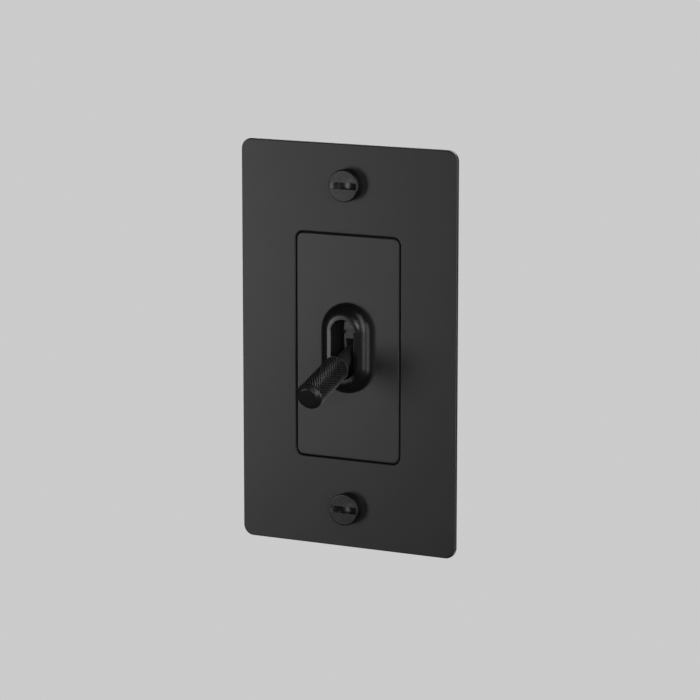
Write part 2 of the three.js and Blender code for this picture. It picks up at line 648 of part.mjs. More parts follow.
const rocker = new THREE.Group();
rocker.position.y = ROCKER_PIVOT_Y;
rocker.rotation.x = -THREE.MathUtils.degToRad(ROCKER_THROW / 2);
add(rocker, 'contact_rocker', contactRocker(), brass);
add(rocker, 'moving_contact_upper', movingContact(1), silver);
add(rocker, 'moving_contact_lower', movingContact(-1), silver);
wallSwitch.add(rocker);

export default wallSwitch;
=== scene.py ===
"""Looks of the toggle wall switch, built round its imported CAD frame.

Lengths inside the script are millimetres in the CAD frame: +Z up, the front faces -Y and the
wall surface is Y = 0. They are turned into metres when a mesh is made.
"""

import json
from math import atan2, copysign, cos, hypot, pi, radians, sin, tan

import bmesh
import bpy
from mathutils import Matrix, Vector


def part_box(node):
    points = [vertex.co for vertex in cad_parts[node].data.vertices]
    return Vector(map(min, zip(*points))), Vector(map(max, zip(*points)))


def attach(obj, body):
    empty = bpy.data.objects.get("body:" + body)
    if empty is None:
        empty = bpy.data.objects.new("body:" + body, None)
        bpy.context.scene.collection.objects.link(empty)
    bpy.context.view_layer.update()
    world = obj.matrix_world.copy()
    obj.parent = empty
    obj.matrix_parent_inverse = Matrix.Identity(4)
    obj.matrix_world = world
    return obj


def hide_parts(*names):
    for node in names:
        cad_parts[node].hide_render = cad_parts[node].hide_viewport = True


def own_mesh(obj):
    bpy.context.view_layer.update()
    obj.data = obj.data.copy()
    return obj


MM = 0.001
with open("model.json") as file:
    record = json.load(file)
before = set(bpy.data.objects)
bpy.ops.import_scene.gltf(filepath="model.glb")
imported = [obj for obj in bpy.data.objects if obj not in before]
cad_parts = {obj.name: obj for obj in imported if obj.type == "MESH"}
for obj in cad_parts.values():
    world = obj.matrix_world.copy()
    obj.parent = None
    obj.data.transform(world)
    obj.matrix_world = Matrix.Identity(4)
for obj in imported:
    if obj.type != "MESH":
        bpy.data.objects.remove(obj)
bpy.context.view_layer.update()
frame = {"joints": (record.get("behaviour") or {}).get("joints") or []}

# ---- sizes from the frame

JOINTS = {joint["name"]: joint for joint in frame["joints"]}


def box_mm(node):
    """Lowest and highest corner of a CAD node, in millimetres."""
    low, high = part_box(node)
    return low / MM, high / MM


def middle_mm(node):
    low, high = box_mm(node)
    return (low + high) / 2


def width_and_height(node):
    low, high = box_mm(node)
    return high.x - low.x, high.z - low.z


FRONT = box_mm("face_plate")[0].y
PLATE_SIZE = width_and_height("face_plate")
PANEL_SIZE = width_and_height("insert_panel")
PIVOT_Y = JOINTS["lever_tilt"]["pos_m"][1] / MM
TILT = radians(JOINTS["lever_tilt"]["range_deg"][1] / 2)
ROCKER_Y = JOINTS["rocker_tilt"]["pos_m"][1] / MM
ROCKER_TILT = -radians(JOINTS["rocker_tilt"]["range_deg"][1] / 2)
PLATE_SCREW_Z = middle_mm("plate_screw_upper").z
BOX_SCREW_Z = middle_mm("box_screw_upper").z
PANEL_SCREW_Z = middle_mm("panel_screw_upper").z
BODY_SCREW_Z = middle_mm("body_screw_upper").z
BEZEL_SCREW_Z = middle_mm("bezel_screw_upper").z
CONTACT_Z = middle_mm("fixed_contact_upper").z

# ---- sizes of the pieces

GAP = 0.3
FINE_GAP = 0.1
SEAM = 0.45
PLATE_CORNER, PLATE_EDGE, PLATE_HOLE = 3.2, 0.35, 2.1
PANEL_CORNER, PANEL_EDGE = 2.0, 0.3
SLOT_STRETCH = 5.3
SPIGOT_RADIUS = 4.7

# Pan-head screws, in the order: head radius, head height, shank radius, length, thread pitch.
BOX_SCREW = (3.4, 1.4, 1.75, 22.1, 0.8)
PANEL_SCREW = (2.7, 1.6, 1.5, 4.1, 0.5)
BEZEL_SCREW = (1.5, 1.0, 0.75, 3.2, 0.35)
BODY_SCREW = (2.75, 1.5, 1.45, 27.6, 1.0)
TERMINAL_SCREW = (3.3, 1.9, 1.75, 7.1, 0.8)

YOKE_FRONT, YOKE_BACK = 2.0, 3.6
BODY_SIZE, CAVITY_SIZE = (30.0, 52.0), (26.8, 48.8)
SPLIT = 12.0
BODY_BOSS_RADIUS, BODY_BOSS_BORE = 3.6, 1.6
TERMINAL = {"x": 14.7, "y": 21.0, "half_height": 4.0}
PIN_BORE = 1.3
STEM = {"radius": 2.4, "start": 3.2, "end": 16.6, "spigot": 1.5, "root": 2.0, "tip": 24.0}
GRIP = {"radius": 4.0, "start": 16.9, "end": 36.9, "face": 2.75, "chamfer": 1.0, "root_chamfer": 0.6}
KNURL = {"starts": 30, "helix_deg": 30, "depth": 0.32, "first": 17.7, "last": 35.5, "blunt": 0.75}
SPRING = {"wire": 0.25, "radius": 1.6, "start": 6.3, "end": 10.1, "turns": 4}
WING = {"half_width": 2.7, "half_length": 12.6, "thickness": 0.9, "bend_deg": 5, "front": 25.25}

# ---- light and camera

# Each soft light by what it does: azimuth, elevation, distance, width, height, strength in watts.
LIGHTS = {
    "key_front_left": (-38, -5, 0.6, 0.2, 0.3, 0.7),
    "front_on_the_grip": (10, 8, 1.0, 0.15, 0.15, 0.9),
    "right_front": (44, 8, 1.0, 0.25, 0.7, 2.0),
    "right_fill": (78, 0, 1.0, 0.5, 0.8, 1.8),
    "right_side": (112, 5, 1.0, 0.3, 0.7, 3.5),
    "upper_right": (45, 38, 1.0, 0.4, 0.4, 0.8),
    "back_top": (180, 35, 1.2, 0.9, 0.5, 7.0),
    "back_left": (215, 0, 1.2, 0.5, 0.7, 4.0),
    "back_low": (150, -40, 1.2, 0.5, 0.5, 3.0),
}
PAPER = 0.6
SKY = 0.02
# Where the camera stands, in degrees and metres, what it looks at, and its lens in millimetres.
CAMERA = {"azimuth": 26, "elevation": 11, "distance": 0.94, "aim": (0, 0, -0.0009), "lens": 164}

# ---- places of the pieces on the pivots

PIVOT_PLACE = Matrix.Translation((0, PIVOT_Y, 0))
LEVER_PLACE = PIVOT_PLACE @ Matrix.Rotation(TILT, 4, "X")
ROCKER_PLACE = Matrix.Translation((0, ROCKER_Y, 0)) @ Matrix.Rotation(ROCKER_TILT, 4, "X")


# ---- outlines

def arc_points(centre, radius, start, sweep, steps):
    return [
        (centre[0] + radius * cos(start + sweep * i / steps),
         centre[1] + radius * sin(start + sweep * i / steps))
        for i in range(steps + 1)
    ]


def bend_arc(start, before, radius, bend, steps):
    """Arc that leaves its start in the direction before and turns by the angle bend."""
    side = Vector((-before.y, before.x)) * copysign(1, bend)
    centre = start + side * radius
    angle = atan2(start.y - centre.y, start.x - centre.x)
    return arc_points(centre, radius, angle, bend, steps)


def filleted(points, radii, inset=0.0, steps=5):
    """Closed outline, counter-clockwise, moved inwards by inset and with rounded corners."""
    count = len(points)
    corners = [Vector(p) for p in points]
    result = []
    for i, corner in enumerate(corners):
        before = (corner - corners[i - 1]).normalized()
        after = (corners[(i + 1) % count] - corner).normalized()
        turn = before.cross(after) if before.dot(after) < 0.9999 else 0.0
        bend = atan2(turn, before.dot(after))
        inward = (Vector((-before.y, before.x)) + Vector((-after.y, after.x))).normalized()
        moved = corner + inward * (inset / cos(bend / 2))
        radius = radii[i] - inset * copysign(1, bend) if radii[i] else 0.0
        radius = max(radius, 0.02)
        reach = radius * tan(abs(bend) / 2)
        start = moved - before * reach
        result += bend_arc(start, before, radius, bend, steps)
    return result


def rectangle(width, height, corner, centre=(0, 0), steps=8):
    x, z = width / 2, height / 2
    cx, cz = centre
    points = [(cx + x, cz - z), (cx + x, cz + z), (cx - x, cz + z), (cx - x, cz - z)]
    return lambda inset=0.0: filleted(points, [corner] * 4, inset, steps)


def polygon(points, radii, steps=5):
    return lambda inset=0.0: filleted(points, radii, inset, steps)


def circle(radius, centre=(0, 0), count=48):
    return lambda inset=0.0: arc_points(centre, radius - inset, 0, 2 * pi, count)[:-1]


def stadium(radius, stretch, centre=(0, 0), sideways=False, steps=20):
    """Two half circles whose centres lie stretch from the middle."""
    def outline(inset=0.0):
        upper = arc_points((0, stretch), radius - inset, 0, pi, steps)
        lower = arc_points((0, -stretch), radius - inset, pi, pi, steps)
        points = upper + lower
        if sideways:
            points = [(-z, x) for x, z in points]
        return [(centre[0] + x, centre[1] + z) for x, z in points]
    return outline


def rounded_path(points, radii, steps=4):
    """Open profile with its inner corners rounded. A radius of 0 leaves a corner sharp."""
    result = [tuple(points[0])]
    for i in range(1, len(points) - 1):
        corner = Vector(points[i])
        before = (corner - Vector(points[i - 1])).normalized()
        after = (Vector(points[i + 1]) - corner).normalized()
        if not radii[i]:
            result.append(tuple(corner))
            continue
        bend = atan2(before.cross(after), before.dot(after))
        start = corner - before * radii[i] * tan(abs(bend) / 2)
        result += bend_arc(start, before, radii[i], bend, steps)
    result.append(tuple(points[-1]))
    return result


# ---- solids, as bmesh

def linked(name, data):
    """New object in the scene."""
    thing = bpy.data.objects.new(name, data)
    bpy.context.scene.collection.objects.link(thing)
    return thing


def skin(bm, rows):
    """Quads between neighbouring rows of vertices, each of which closes on itself."""
    for lower, upper in zip(rows, rows[1:]):
        for i in range(len(lower)):
            j = (i + 1) % len(lower)
            bm.faces.new((lower[i], lower[j], upper[j], upper[i]))


def loft(rings, closed=False):
    """Skin over rings of equal count. Unless it closes on itself, each end gets a cap."""
    bm = bmesh.new()
    rows = [[bm.verts.new(point) for point in ring] for ring in rings]
    skin(bm, rows + rows[:1] if closed else rows)
    if not closed:
        bm.faces.new(rows[0][::-1])
        bm.faces.new(rows[-1])
    bmesh.ops.remove_doubles(bm, verts=bm.verts, dist=1e-5)
    bmesh.ops.recalc_face_normals(bm, faces=bm.faces)
    return bm


def turned(profile, sides=64, stretch=0.0, closed=False):
    """Turned solid about Y from a profile of (radius, y), pulled apart in Z by stretch."""
    rings = []
    for radius, y in profile:
        upper = arc_points((0, stretch), radius, 0, pi, sides // 2)
        lower = arc_points((0, -stretch), radius, pi, pi, sides // 2)
        outline = upper + lower if stretch else upper[:-1] + lower[:-1]
        rings.append([(x, y, z) for x, z in outline])
    return loft(rings, closed)


def slab(outer, front, back, holes=(), edge=0.2, steps=3):
    """Plate between two depths with rounded edges on its outline and on its holes."""
    levels = []
    for i in range(steps + 1):
        turn = pi / 2 * i / steps
        levels.append((edge * (1 - sin(turn)), front + edge * (1 - cos(turn))))
    levels += [(inset, front + back - y) for inset, y in reversed(levels)]
    bm = bmesh.new()
    first, last = [], []
    for outline, sign in [(outer, 1)] + [(hole, -1) for hole in holes]:
        rows = [[bm.verts.new((x, y, z)) for x, z in outline(sign * inset)] for inset, y in levels]
        skin(bm, rows)
        for row, rim in ((rows[0], first), (rows[-1], last)):
            rim += [bm.edges.get((row[i], row[(i + 1) % len(row)])) for i in range(len(row))]
    for rim in (first, last):
        bmesh.ops.triangle_fill(bm, use_beauty=True, use_dissolve=False, edges=rim)
    bmesh.ops.recalc_face_normals(bm, faces=bm.faces)
    return bm


def block(low, high, edge=0.3, steps=3):
    """Box with rounded edges, from its lowest and highest corners."""
    bm = bmesh.new()
    bmesh.ops.create_cube(bm, size=1.0)
    size = [b - a for a, b in zip(low, high)]
    middle = [(a + b) / 2 for a, b in zip(low, high)]
    bmesh.ops.scale(bm, vec=size, verts=bm.verts)
    bmesh.ops.translate(bm, vec=middle, verts=bm.verts)
    if edge:
        bmesh.ops.bevel(bm, geom=list(bm.edges), offset=edge, segments=steps, profile=0.5, affect="EDGES")
    return bm


def moved(bm, matrix):
    bmesh.ops.transform(bm, matrix=matrix, verts=bm.verts)
    return bm


def at(bm, x=0.0, y=0.0, z=0.0):
    return moved(bm, Matrix.Translation((x, y, z)))


def boolean(solid, tools, operation):
    """Exact boolean of bmesh solids."""
    def as_object(bm, name):
        mesh = bpy.data.meshes.new(name)
        bm.to_mesh(mesh)
        bm.free()
        return linked(name, mesh)

    target = as_object(solid, "boolean_target")
    cutters = [as_object(tool, "boolean_tool") for tool in tools]
    for cutter in cutters:
        modifier = target.modifiers.new("cut", "BOOLEAN")
        modifier.operation = operation
        modifier.solver = "EXACT"
        modifier.object = cutter
    bpy.context.view_layer.update()
    evaluated = target.evaluated_get(bpy.context.evaluated_depsgraph_get())
    mesh = bpy.data.meshes.new_from_object(evaluated)
    result = bmesh.new()
    result.from_mesh(mesh)
    bpy.data.meshes.remove(mesh)
    for thing in [target, *cutters]:
        old = thing.data
        bpy.data.objects.remove(thing)
        bpy.data.meshes.remove(old)
    bmesh.ops.remove_doubles(result, verts=result.verts, dist=1e-4)
    return result


def cut(solid, *tools):
    return boolean(solid, tools, "DIFFERENCE")


def fused(solid, *others):
    return boolean(solid, others, "UNION")


def softened(bm, width, angle=35, segments=2, where=lambda vert: True):
    """Rounds the edges that turn by more than an angle, on the part of a solid that is asked for."""
    verts = [v for v in bm.verts if where(v)]
    edges = [e for e in bm.edges if all(where(v) for v in e.verts)]
    bmesh.ops.dissolve_limit(bm, angle_limit=radians(1), verts=verts, edges=edges)
    sharp = [
        e for e in bm.edges
        if len(e.link_faces) == 2 and all(where(v) for v in e.verts)
        and e.calc_face_angle(0) > radians(angle)
    ]
    bmesh.ops.bevel(bm, geom=sharp, offset=width, segments=segments, profile=0.5,
                    affect="EDGES", clamp_overlap=True)
    return bm


# ---- pieces

def piece(name, bm, slot, material, *nodes, body="switch_body", place=None, smooth_angle=40):
    """Turns a bmesh in millimetres into a named piece that rides on a body."""
    bmesh.ops.scale(bm, vec=(MM, MM, MM), verts=bm.verts)
    mesh = bpy.data.meshes.new(name)
    bm.to_mesh(mesh)
    bm.free()
    mesh.shade_smooth()
    mesh.set_sharp_from_angle(angle=radians(smooth_angle))
    thing = linked(name, mesh)
    mesh.materials.append(material)
    if place is not None:
        thing.matrix_world = Matrix.Translation(place.translation * MM) @ place.to_3x3().to_4x4()
    weighted = thing.modifiers.new("weighted_normals", "WEIGHTED_NORMAL")
    weighted.keep_sharp = True
    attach(thing, body)
    if nodes:
        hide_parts(*nodes)
    return thing


# ---- materials

class Shader:
    """A material's node tree, with short calls for the few nodes used here."""

    def __init__(self, name):
        self.material = bpy.data.materials.new(name)
        self.material.use_nodes = True
        self.tree = self.material.node_tree
        self.surface = self.tree.nodes["Principled BSDF"]
        coordinates = self.node("ShaderNodeTexCoord").outputs
        self.place, self.object_normal = coordinates["Object"], coordinates["Normal"]

    def node(self, kind, inputs=None, **settings):
        made = self.tree.nodes.new(kind)
        for key, value in settings.items():
            setattr(made, key, value)
        for key, value in (inputs or {}).items():
            self.feed(made.inputs[key], value)
        return made

    def feed(self, socket, value):
        if isinstance(value, bpy.types.NodeSocket):
            self.tree.links.new(value, socket)
        else:
            socket.default_value = value

    def noise(self, size, detail=3.0, rough=0.5, place=None):
        """Noise from 0 to 1 with features about size millimetres across."""
        inputs = {"Vector": place or self.place, "Scale": 1 / (size * MM), "Detail": detail,
                  "Roughness": rough}
        return self.node("ShaderNodeTexNoise", inputs).outputs["Fac"]

    def stretched_noise(self, size, scale):
        """Noise drawn out along one axis, as brushing and rolling leave it."""
        place = self.node("ShaderNodeMapping", {"Vector": self.place, "Scale": scale})
        return self.noise(size, 4.0, 0.6, place.outputs["Vector"])

    def round_the_axis(self):
        """Distance from the piece's own Y axis, and the height along it."""
        parts = self.node("ShaderNodeSeparateXYZ", {"Vector": self.place})
        flat = self.node("ShaderNodeCombineXYZ", {"X": parts.outputs["X"], "Z": parts.outputs["Z"]})
        radius = self.node("ShaderNodeVectorMath", {0: flat.outputs["Vector"]}, operation="LENGTH")
        return radius.outputs["Value"], parts.outputs["Y"]

    def lathe_marks(self, size):
        """Noise that runs round the piece's own Y axis, as turning leaves it."""
        radius, height = self.round_the_axis()
        place = self.node("ShaderNodeCombineXYZ", {"X": radius, "Y": height})
        return self.noise(size, 3.0, 0.6, place.outputs["Vector"])

    def between(self, value, low, high, first=0.0, last=1.0):
        """Value from low to high, spread over first to last."""
        inputs = {"Value": value, "From Min": low, "From Max": high, "To Min": first, "To Max": last}
        return self.node("ShaderNodeMapRange", inputs).outputs["Result"]

    def spread(self, noise, first=0.0, last=1.0):
        """The middle range of a noise, spread over first to last."""
        return self.between(noise, 0.3, 0.7, first, last)

    def times(self, first, second):
        return self.node("ShaderNodeMath", {0: first, 1: second}, operation="MULTIPLY").outputs["Value"]

    def plus(self, first, second):
        return self.node("ShaderNodeMath", {0: first, 1: second}, operation="ADD").outputs["Value"]

    def blend(self, share, first, second):
        mix = self.node("ShaderNodeMix", data_type="RGBA")
        self.feed(mix.inputs["Factor"], share)
        self.feed(mix.inputs["A"], first)
        self.feed(mix.inputs["B"], second)
        return mix.outputs["Result"]

    def edges(self, start=0.52, end=0.6):
        """1 on convex edges and 0 on flats, broken up by noise as wear is. The lighter colour laid on with
        it is partly rubbed wear and partly a painted edge highlight.
        """
        pointed = self.node("ShaderNodeNewGeometry").outputs["Pointiness"]
        return self.times(self.between(pointed, start, end), self.between(self.noise(0.8), 0.35, 0.6))

    def hollows(self, start=0.48, end=0.42):
        """1 in concave corners and 0 on flats."""
        pointed = self.node("ShaderNodeNewGeometry").outputs["Pointiness"]
        return self.between(pointed, start, end)

    def bump(self, height, depth):
        """Relief of about depth millimetres."""
        inputs = {"Height": height, "Strength": 1.0, "Distance": depth * MM}
        return self.node("ShaderNodeBump", inputs).outputs["Normal"]

    def finish(self, colour, roughness, normal=None, metallic=0.0, **sockets):
        self.feed(self.surface.inputs["Base Color"], colour)
        self.feed(self.surface.inputs["Roughness"], roughness)
        self.surface.inputs["Metallic"].default_value = metallic
        if normal is not None:
            self.feed(self.surface.inputs["Normal"], normal)
        for name, value in sockets.items():
            self.surface.inputs[name.replace("_", " ")].default_value = value
        return self.material


def grey(value, warmth=0.0):
    return (value * (1 + warmth), value, value * (1 - warmth), 1.0)


def satin_plate(name, shade):
    """Fine matt lacquer on a flat plate."""
    s = Shader(name)
    grain = s.noise(0.16, 2.0)
    cloud = s.noise(14.0)
    colour = s.blend(s.spread(cloud), grey(0.0195 * shade), grey(0.0225 * shade))
    # Lighter on convex edges: partly rubbed wear, partly a painted edge highlight.
    colour = s.blend(s.times(s.edges(), 0.5), colour, grey(0.06))
    roughness = s.plus(s.spread(grain, 0.38, 0.43), s.spread(cloud, -0.01, 0.01))
    return s.finish(colour, roughness, s.bump(grain, 0.0012))


def black_coating(s):
    """Colour of the black coating with lighter edges, partly rubbed wear and partly a painted edge
    highlight, and the lathe marks and the cloud in it.
    """
    marks, cloud = s.lathe_marks(0.09), s.noise(3.0)
    colour = s.blend(s.spread(cloud), grey(0.005), grey(0.007))
    # Edges lightened towards grey: partly rubbed wear, partly a painted edge highlight.
    return s.blend(s.times(s.edges(), 0.6), colour, grey(0.09)), marks, cloud


def satin_metal():
    """Black-coated turned metal with faint lathe marks."""
    s = Shader("satin_metal")
    colour, marks, cloud = black_coating(s)
    roughness = s.plus(s.spread(marks, 0.26, 0.3), s.spread(cloud, -0.02, 0.02))
    return s.finish(colour, roughness, s.bump(marks, 0.0008))


def bezel_metal():
    """The same coating, left matt where the tool bored the slot and squared the base; these
    sideways-facing walls are also painted darker as painted shade.
    """
    s = Shader("bezel_metal")
    colour, marks = black_coating(s)[:2]
    facing = s.node("ShaderNodeSeparateXYZ", {"Vector": s.object_normal}).outputs["Y"]
    matt_and_shaded_walls = s.between(facing, -0.35, -0.1)
    roughness = s.plus(s.spread(marks, 0.26, 0.3), s.times(matt_and_shaded_walls, 0.5))
    # Painted shade: the walls that face sideways get a darker colour as well as a higher roughness.
    return s.finish(s.blend(matt_and_shaded_walls, colour, grey(0.003)), roughness, s.bump(marks, 0.0008))


def knurled_metal():
    """The same coating on a cut knurl, lighter on its points as a painted highlight and dark in its
    valleys as painted shade.
    """
    s = Shader("knurled_metal")
    grain = s.noise(0.2)
    radius, height = s.round_the_axis()
    point = GRIP["radius"] * MM
    painted_highlight_from = point - 0.5 * KNURL["depth"] * MM
    # Painted highlight on the knurl's points and painted shade in its valleys, set by the distance from
    # the axis.
    colour = s.blend(s.between(radius, painted_highlight_from, point), grey(0.001), grey(0.075))
    plain = s.between(height, -KNURL["last"] * MM, -(KNURL["last"] + 0.05) * MM)
    colour = s.blend(plain, colour, grey(0.012))
    return s.finish(colour, s.spread(grain, 0.28, 0.36), s.bump(grain, 0.001))


def blued_steel():
    """Bluish dark steel of the plain stem."""
    s = Shader("blued_steel")
    marks = s.lathe_marks(0.1)
    colour = s.blend(s.spread(s.noise(2.0)), (0.034, 0.035, 0.039, 1), (0.042, 0.043, 0.047, 1))
    return s.finish(colour, s.spread(marks, 0.32, 0.4), s.bump(marks, 0.001))


def zinc_steel():
    """Bright zinc on rolled steel, with the faint bands and bloom of plating."""
    s = Shader("zinc_steel")
    rolled = s.stretched_noise(0.5, (1.0, 1.0, 0.06))
    bloom = s.noise(4.0, 4.0)
    colour = s.blend(s.between(bloom, 0.35, 0.65), (0.50, 0.53, 0.56, 1), (0.60, 0.60, 0.57, 1))
    colour = s.blend(s.times(s.hollows(), 0.6), colour, (0.20, 0.19, 0.17, 1))
    roughness = s.plus(s.spread(rolled, 0.26, 0.4), s.between(bloom, 0.35, 0.65, 0.0, 0.08))
    return s.finish(colour, roughness, s.bump(rolled, 0.004), 1.0)


def zinc_screw():
    """Zinc plating on small turned screws."""
    s = Shader("zinc_screw")
    marks = s.lathe_marks(0.12)
    bloom = s.noise(1.2)
    colour = s.blend(s.between(bloom, 0.35, 0.65), (0.52, 0.54, 0.56, 1), (0.60, 0.59, 0.55, 1))
    colour = s.blend(s.times(s.hollows(), 0.8), colour, (0.12, 0.11, 0.10, 1))
    return s.finish(colour, s.spread(marks, 0.24, 0.38), s.bump(marks, 0.003), 1.0)


def spring_steel():
    s = Shader("spring_steel")
    drawn = s.stretched_noise(0.2, (0.1, 1.0, 1.0))
    colour = s.blend(s.spread(drawn), (0.30, 0.30, 0.31, 1), (0.42, 0.41, 0.40, 1))
    return s.finish(colour, s.spread(drawn, 0.2, 0.34), s.bump(drawn, 0.002), 1.0)


def moulded_plastic():
    """Dark thermoset with the fine matt texture of its mould, and edges lightened partly as rubbed wear
    and partly as a painted edge highlight.
    """
    s = Shader("moulded_plastic")
    spark = s.noise(0.22, 2.0)
    flow = s.noise(9.0)
    colour = s.blend(s.spread(flow), grey(0.020), grey(0.027))
    # Lighter on convex edges: partly rubbed wear, partly a painted edge highlight.
    colour = s.blend(s.times(s.edges(0.51, 0.58), 0.6), colour, grey(0.055))
    roughness = s.plus(s.spread(spark, 0.46, 0.58), s.spread(flow, -0.03, 0.03))
    return s.finish(colour, roughness, s.bump(spark, 0.006))


def brass():
    """Rolled brass, brown in its corners."""
    s = Shader("brass")
    rolled = s.stretched_noise(0.35, (1.0, 1.0, 0.08))
    stain = s.noise(2.5, 4.0)
    colour = s.blend(s.between(stain, 0.4, 0.7), (0.78, 0.56, 0.24, 1), (0.60, 0.38, 0.15, 1))
    colour = s.blend(s.times(s.hollows(), 0.7), colour, (0.18, 0.10, 0.04, 1))
    roughness = s.plus(s.spread(rolled, 0.22, 0.34), s.between(stain, 0.4, 0.7, 0.0, 0.1))
    return s.finish(colour, roughness, s.bump(rolled, 0.003), 1.0)


def grey_plastic():
    """Plain grey moulding with a faint flow pattern."""
    s = Shader("grey_plastic")
    spark = s.noise(0.2, 2.0)
    colour = s.blend(s.spread(s.noise(4.0)), grey(0.5), grey(0.56))
    return s.finish(colour, s.spread(spark, 0.42, 0.55), s.bump(spark, 0.004))


def foam():
    """Black closed-cell foam."""
    s = Shader("foam")
    cells = s.node("ShaderNodeTexVoronoi", {"Vector": s.place, "Scale": 3500.0}).outputs["Distance"]
    colour = s.blend(s.between(cells, 0.1, 0.6), grey(0.006), grey(0.012))
    return s.finish(colour, s.between(cells, 0.1, 0.6, 0.85, 0.95), s.bump(cells, 0.05))


def silver():
    s = Shader("silver")
    grain = s.noise(0.3)
    colour = s.blend(s.between(s.noise(1.0), 0.4, 0.7), (0.86, 0.85, 0.82, 1), (0.55, 0.50, 0.42, 1))
    return s.finish(colour, s.spread(grain, 0.25, 0.4), s.bump(grain, 0.003), 1.0)


def nylon():
    """Slightly translucent moulded nylon."""
    s = Shader("nylon")
    flow = s.noise(1.5)
    colour = s.blend(s.spread(flow), (0.66, 0.63, 0.56, 1), (0.74, 0.72, 0.66, 1))
    roughness = s.spread(flow, 0.34, 0.46)
    return s.finish(colour, roughness, s.bump(s.noise(0.3), 0.003), Subsurface_Weight=0.15)


def fibre():
    """Vulcanised fibre with visible strands."""
    s = Shader("fibre")
    strands = s.stretched_noise(0.25, (1.0, 1.0, 0.15))
    colour = s.blend(s.between(strands, 0.35, 0.65), (0.17, 0.035, 0.02, 1), (0.30, 0.07, 0.035, 1))
    return s.finish(colour, s.spread(strands, 0.6, 0.8), s.bump(strands, 0.012))


def green_screw():
    """Green chromate on an earth screw."""
    s = Shader("green_screw")
    marks = s.lathe_marks(0.12)
    bloom = s.noise(1.0)
    colour = s.blend(s.spread(bloom), (0.03, 0.22, 0.08, 1), (0.06, 0.33, 0.14, 1))
    # Lighter on convex edges: partly rubbed wear, partly a painted edge highlight.
    colour = s.blend(s.times(s.edges(), 0.5), colour, (0.35, 0.42, 0.36, 1))
    return s.finish(colour, s.spread(marks, 0.24, 0.36), s.bump(marks, 0.003), 0.8)


# ---- plate, panel and bezel

def face_plate():
    holes = [rectangle(PANEL_SIZE[0] + 2 * SEAM, PANEL_SIZE[1] + 2 * SEAM, PANEL_CORNER + SEAM)]
    holes += [circle(PLATE_HOLE, (0, side * PLATE_SCREW_Z)) for side in (-1, 1)]
    outer = rectangle(*PLATE_SIZE, PLATE_CORNER, steps=12)
    return slab(outer, FRONT, 0, holes, PLATE_EDGE, 4)


def insert_panel():
    """Panel with an opening for the bezel's spigot, and a tapped boss behind it at each end."""
    holes = [stadium(SPIGOT_RADIUS + GAP, SLOT_STRETCH)]
    panel = slab(rectangle(*PANEL_SIZE, PANEL_CORNER), FRONT, 0, holes, PANEL_EDGE, 4)
    bore, radius, chamfer, root, end = 1.7, 2.8, 0.3, -0.6, 1.9
    profile = [(bore, end), (radius - chamfer, end), (radius, end - chamfer), (radius, root), (bore, root)]
    bosses = [at(turned(profile, 40, closed=True), z=side * PANEL_SCREW_Z) for side in (-1, 1)]
    return fused(panel, *bosses)


def bezel_flank(base, land_radius, land, steps=18):
    """Short wall and a convex quarter that ends at the land, still sloping by a few degrees."""
    radius, wall, last_slope = 8.2, 0.3, radians(22)
    width = (radius - land_radius) / (1 - sin(last_slope))
    rise = (land - wall) / cos(last_slope)
    flank = [(radius, base)]
    for i in range(steps):
        slope = pi / 2 - (pi / 2 - last_slope) * i / steps
        flank.append((radius - width * (1 - sin(slope)), FRONT - wall - rise * cos(slope)))
    return flank


def toggle_bezel():
    """Oval bezel: a short wall, a convex flank, and a land that rises a little to the slot."""
    base, back = FRONT - FINE_GAP, 3.3
    land_radius, land, slot_radius, crest = 4.9, 3.65, 3.65, 3.77
    flank = bezel_flank(base, land_radius, land)
    inside = rounded_path(
        [flank[-1], (land_radius, FRONT - land), (slot_radius, FRONT - crest), (slot_radius, back),
         (SPIGOT_RADIUS, back), (SPIGOT_RADIUS, base)],
        [0, 0.25, 0.12, 0.2, 0.2, 0])
    return turned(flank + inside[1:], 96, SLOT_STRETCH, closed=True)


def seam_seal():
    """Black foam band on the yoke, pressed against the plate's back: a dark sheet that gives the seam
    painted shade and lets no light in through it.
    """
    width, height = width_and_height("seam_seal")
    pressed, front, back = 2 * GAP, 0.05, box_mm("seam_seal")[1].y
    outer = rectangle(width + pressed, height + pressed, PANEL_CORNER)
    return slab(outer, front, back, [rectangle(31.6, 65.1, 1.4)], 0.04, 1)


def coin_screw():
    """Low round head with a coin slot whose floor is an arc, and its threaded shank."""
    sides, draft = 96, 0.02
    radius, height, slot_width, slot_length, depth = 4.8, 2.9, 2.0, 8.4, 1.5
    shank, length, pitch, plain = 1.75, 10.7, 0.8, 3.2
    profile = rounded_path(
        [(0.4, -height), (radius - draft, -height), (radius, -draft), (radius, 0), (shank, 0)],
        [0, 0.35, 0, 0, 0], 6)
    rings = [ring(r, y, sides) for r, y in profile] + thread_rings(shank, length, pitch, sides, plain)
    cutter_radius = ((slot_length / 2) ** 2 + depth ** 2) / (2 * depth)
    cutter = turned([(cutter_radius, -slot_width / 2), (cutter_radius, slot_width / 2)], 160)
    upright = Matrix.Rotation(pi / 2, 4, "X")
    moved(cutter, Matrix.Translation((0, depth - height - cutter_radius, 0)) @ upright)
    return softened(cut(loft(rings), cutter), 0.12, 50, 3, lambda v: v.co.y < -0.3)


# ---- small screws

def ring(radius, y, sides):
    return [(x, y, z) for x, z in circle(radius, count=sides)()]


def thread_rings(radius, length, pitch, sides, plain=0.5):
    """Rings of a helical thread along +Y, fading in after a plain neck, with a chamfered tip."""
    depth = 0.54 * pitch
    steps = max(2, round((length - plain) / pitch * 8))
    rings = [ring(radius, 0.05, sides), ring(radius, plain, sides)]
    for i in range(1, steps + 1):
        y = plain + (length - plain) * i / steps
        fade = min(1.0, (y - plain) / pitch)
        tip = max(0.0, 1 - (length - y) / (0.8 * pitch)) * depth
        row = []
        for k in range(sides):
            phase = (y / pitch - k / sides) % 1.0
            cutting = max(0.0, 1 - abs(phase - 0.5) * 2.6)
            reach = min(radius - depth * fade * cutting, radius - tip)
            turn = 2 * pi * k / sides
            row.append((reach * cos(turn), y, reach * sin(turn)))
        rings.append(row)
    return rings


